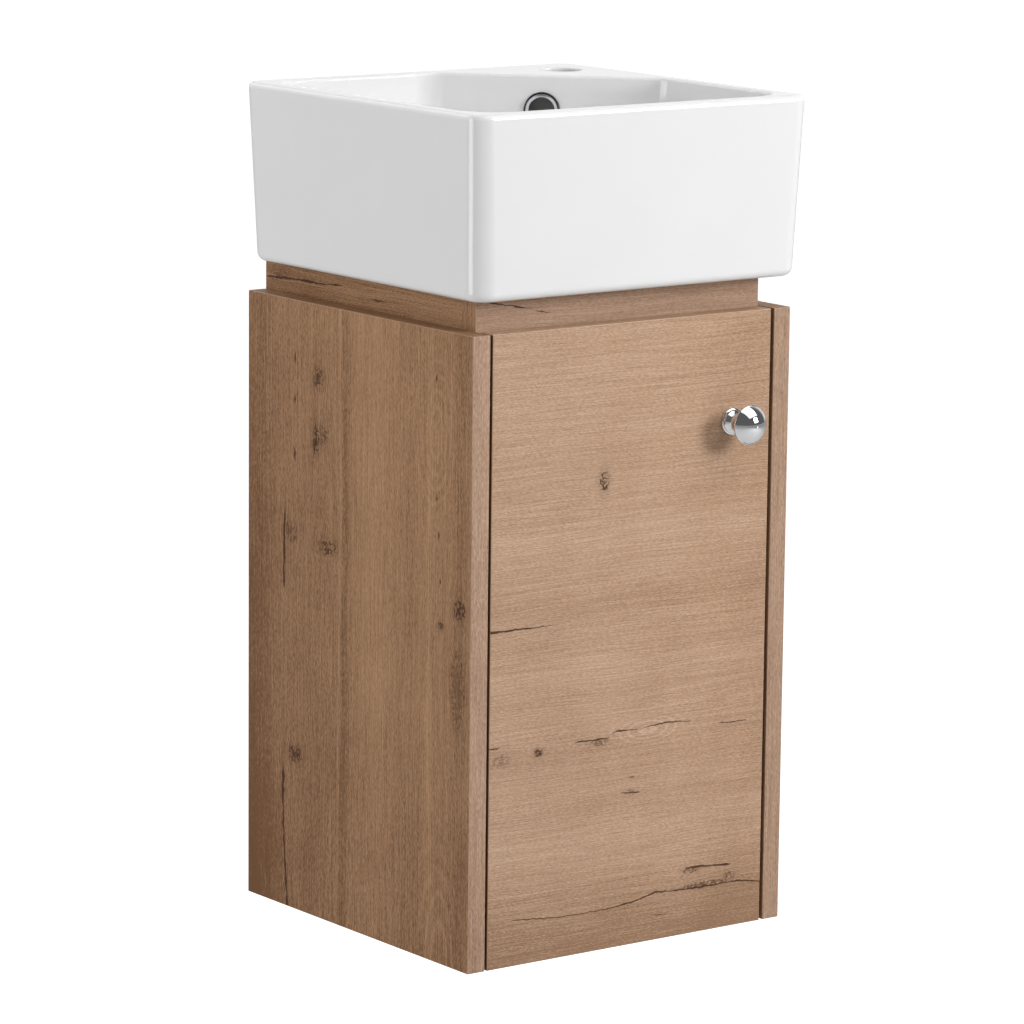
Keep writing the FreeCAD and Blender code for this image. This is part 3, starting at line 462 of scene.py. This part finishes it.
# Glaze stops at the holes: the overflow channel and the well under the tap deck are bare fired clay. They
# lie behind the slanting wall and inside these limits in millimetres
slant_limit = -0.5
bare_limits = {"Z": 631.5, "X": 140.5, "Y": -16.5}
china_spot = add(china_tree, "ShaderNodeSeparateXYZ", {0: china_place.outputs["Object"]})
slant = add(china_tree, "ShaderNodeMath", {0: china_spot.outputs["X"], 1: china_spot.outputs["Y"]},
            operation="ADD")
hidden = add(china_tree, "ShaderNodeMath", {0: slant, 1: slant_limit * mm}, operation="GREATER_THAN")
for axis, limit in bare_limits.items():
    below = add(china_tree, "ShaderNodeMath", {0: china_spot.outputs[axis], 1: limit * mm},
                operation="LESS_THAN")
    hidden = add(china_tree, "ShaderNodeMath", {0: hidden, 1: below}, operation="MULTIPLY")
body_colour = add(china_tree, "ShaderNodeMix", {0: hidden, 6: china_colour.outputs[2], 7: linear("#b9b8b6")},
                  data_type="RGBA")
china_tree.links.new(body_colour.outputs[2], china_shader.inputs["Base Color"])
glazed, bare = 0.05, 0.8
body_shine = add(china_tree, "ShaderNodeMapRange", {0: hidden, 3: glazed, 4: bare})
china_tree.links.new(body_shine.outputs[0], china_shader.inputs["Roughness"])
# A fired glaze is not quite flat: it swells and dips by hundredths of a millimetre over a few centimetres
ripple = add(china_tree, "ShaderNodeTexNoise", {"Vector": china_place.outputs["Object"],
                                                "Scale": 1 / (ripple_size * mm), "Detail": 1.0})
china_bump = add(china_tree, "ShaderNodeBump", {"Strength": 0.25, "Distance": 0.6 * mm, "Height": ripple})
china_tree.links.new(china_bump.outputs[0], china_shader.inputs["Normal"])
china_shader.inputs["IOR"].default_value = 1.52
dress(china, "basin")

# The ring's crest is polished. Out towards its foot against the glaze the chrome is painted nearly black, a
# painted dark reflection, and it is rougher there
ring_middle = (0.071426, -0.081614, 0.61746)
ring_axis = (0.7048, 0.7048, -0.0801)
crest_radius, foot_radius = 12.4, 13.1
ring, ring_tree, ring_shader = finish_named("chromium on brass, overflow ring")
ring_place = add(ring_tree, "ShaderNodeTexCoord")
ring_arm = add(ring_tree, "ShaderNodeVectorMath", {0: ring_place.outputs["Object"], 1: ring_middle},
               operation="SUBTRACT")
ring_cross = add(ring_tree, "ShaderNodeVectorMath", {0: ring_arm, 1: ring_axis}, operation="CROSS_PRODUCT")
ring_radius = add(ring_tree, "ShaderNodeVectorMath", {0: ring_cross}, operation="LENGTH").outputs["Value"]
ring_painted_dark_band = add(ring_tree, "ShaderNodeMapRange", {0: ring_radius, 1: crest_radius * mm, 2: foot_radius * mm})
ring_colour = add(ring_tree, "ShaderNodeMix", {0: ring_painted_dark_band, 6: linear(chrome_code), 7: linear("#3a3b3d")},
                  data_type="RGBA")
ring_tree.links.new(ring_colour.outputs[2], ring_shader.inputs["Base Color"])
ring_dull = add(ring_tree, "ShaderNodeMapRange", {0: ring_painted_dark_band, 3: 0.05, 4: 0.3})
ring_tree.links.new(ring_dull.outputs[0], ring_shader.inputs["Roughness"])
ring_shader.inputs["Metallic"].default_value = 1.0
dress(ring, "overflow_ring")


# Studio: a pale floor well below the hanging unit, a white backdrop behind it and a dim room in front. A
# square lamp is at the front right and a tall one at the left, a little behind the unit. A large soft one
# hangs above the front, and one behind and above lights the rims.

scene = bpy.context.scene
scene.view_settings.view_transform = "Standard"

floor_level, floor_size = -0.35, 60.0
floor_grey = 0.6
floor_white, floor_mirrored = 0.85, 0.15
bpy.ops.mesh.primitive_plane_add(size=floor_size, location=(0, 0, floor_level))
floor = bpy.context.object
floor.name = "studio_floor"
floor_paint, floor_tree, floor_shader = finish_named("studio floor paint")
floor_shader.inputs["Base Color"].default_value = (floor_grey, floor_grey, floor_grey, 1)
floor_shader.inputs["Roughness"].default_value = 0.9
floor_ray = add(floor_tree, "ShaderNodeLightPath")
floor_seen = add(floor_tree, "ShaderNodeMath", {0: floor_ray.outputs["Is Glossy Ray"], 1: floor_mirrored,
                                                2: floor_ray.outputs["Is Camera Ray"]},
                 operation="MULTIPLY_ADD")
floor_glow = add(floor_tree, "ShaderNodeMath", {0: floor_seen, 1: floor_white}, operation="MULTIPLY")
floor_tree.links.new(floor_glow.outputs[0], floor_shader.inputs["Emission Strength"])
floor_shader.inputs["Emission Color"].default_value = (1, 1, 1, 1)
floor.data.materials.append(floor_paint)

room_fill, room_dim, room_white = 0.3, 0.12, 1.0
room = bpy.data.worlds.new("studio room")
scene.world = room
room.use_nodes = True
room_tree = room.node_tree
room_light = room_tree.nodes["Background"]
room_ray = add(room_tree, "ShaderNodeLightPath")
room_way = add(room_tree, "ShaderNodeTexCoord")
room_side = add(room_tree, "ShaderNodeSeparateXYZ", {0: room_way.outputs["Generated"]})
backdrop = add(room_tree, "ShaderNodeMapRange", {0: room_side.outputs["Y"], 1: -0.1, 2: 0.45, 3: room_dim,
                                                 4: room_white}, interpolation_type="SMOOTHSTEP")
mirrored = add(room_tree, "ShaderNodeMath", {0: room_ray.outputs["Is Glossy Ray"],
                                             1: room_ray.outputs["Is Transmission Ray"]}, operation="MAXIMUM")
room_level = add(room_tree, "ShaderNodeMix", {0: mirrored, 2: room_fill, 3: backdrop})
room_shown = add(room_tree, "ShaderNodeMix", {0: room_ray.outputs["Is Camera Ray"], 2: room_level,
                                              3: room_white})
room_tree.links.new(room_shown.outputs[0], room_light.inputs["Strength"])
room_light.inputs["Color"].default_value = (1, 1, 1, 1)

for lamp_name, place, aim, size, power in (
        ("key_lamp", (1.47, -2.6, 1.32), (0.0, -0.25, 0.4), (1.0, 1.0), 51.0),
        ("strip_lamp", (-2.43, 0.25, 0.9), (0.0, -0.15, 0.9), (1.0, 2.2), 25.5),
        ("top_lamp", (0.55, -1.35, 2.4), (0.0, -0.25, 0.4), (2.2, 2.2), 22.0),
        ("rim_lamp", (-0.54, 2.2, 2.4), (0.0, -0.15, 0.64), (1.8, 1.8), 13.0)):
    lamp_data = bpy.data.lights.new(lamp_name, "AREA")
    lamp_data.shape = "RECTANGLE"
    lamp_data.size, lamp_data.size_y = size
    lamp_data.energy = power
    lamp = bpy.data.objects.new(lamp_name, lamp_data)
    lamp.location = place
    lamp.rotation_euler = (Vector(aim) - Vector(place)).to_track_quat("-Z", "Y").to_euler()
    scene.collection.objects.link(lamp)

# Camera: fitted to the edges of the cabinet and the basin, with a long lens
camera_place = (-2.26813, -3.21365, 1.00942)
turn, rise, roll = (math.radians(angle) for angle in (-36.469, 10.3347, 0.6101))
back = Vector((math.sin(turn) * math.cos(rise), -math.cos(turn) * math.cos(rise), math.sin(rise)))
level = Vector((math.cos(turn), math.sin(turn), 0))
upright = back.cross(level)
right = math.cos(roll) * level + math.sin(roll) * upright
top = math.cos(roll) * upright - math.sin(roll) * level
camera_data = bpy.data.cameras.new("camera")
camera_data.lens = 175.19
camera_data.sensor_width = 36.0
camera_data.clip_end = 100.0
camera = bpy.data.objects.new("camera", camera_data)
camera.matrix_world = Matrix.Translation(camera_place) @ Matrix((right, top, back)).transposed().to_4x4()
scene.collection.objects.link(camera)
scene.camera = camera
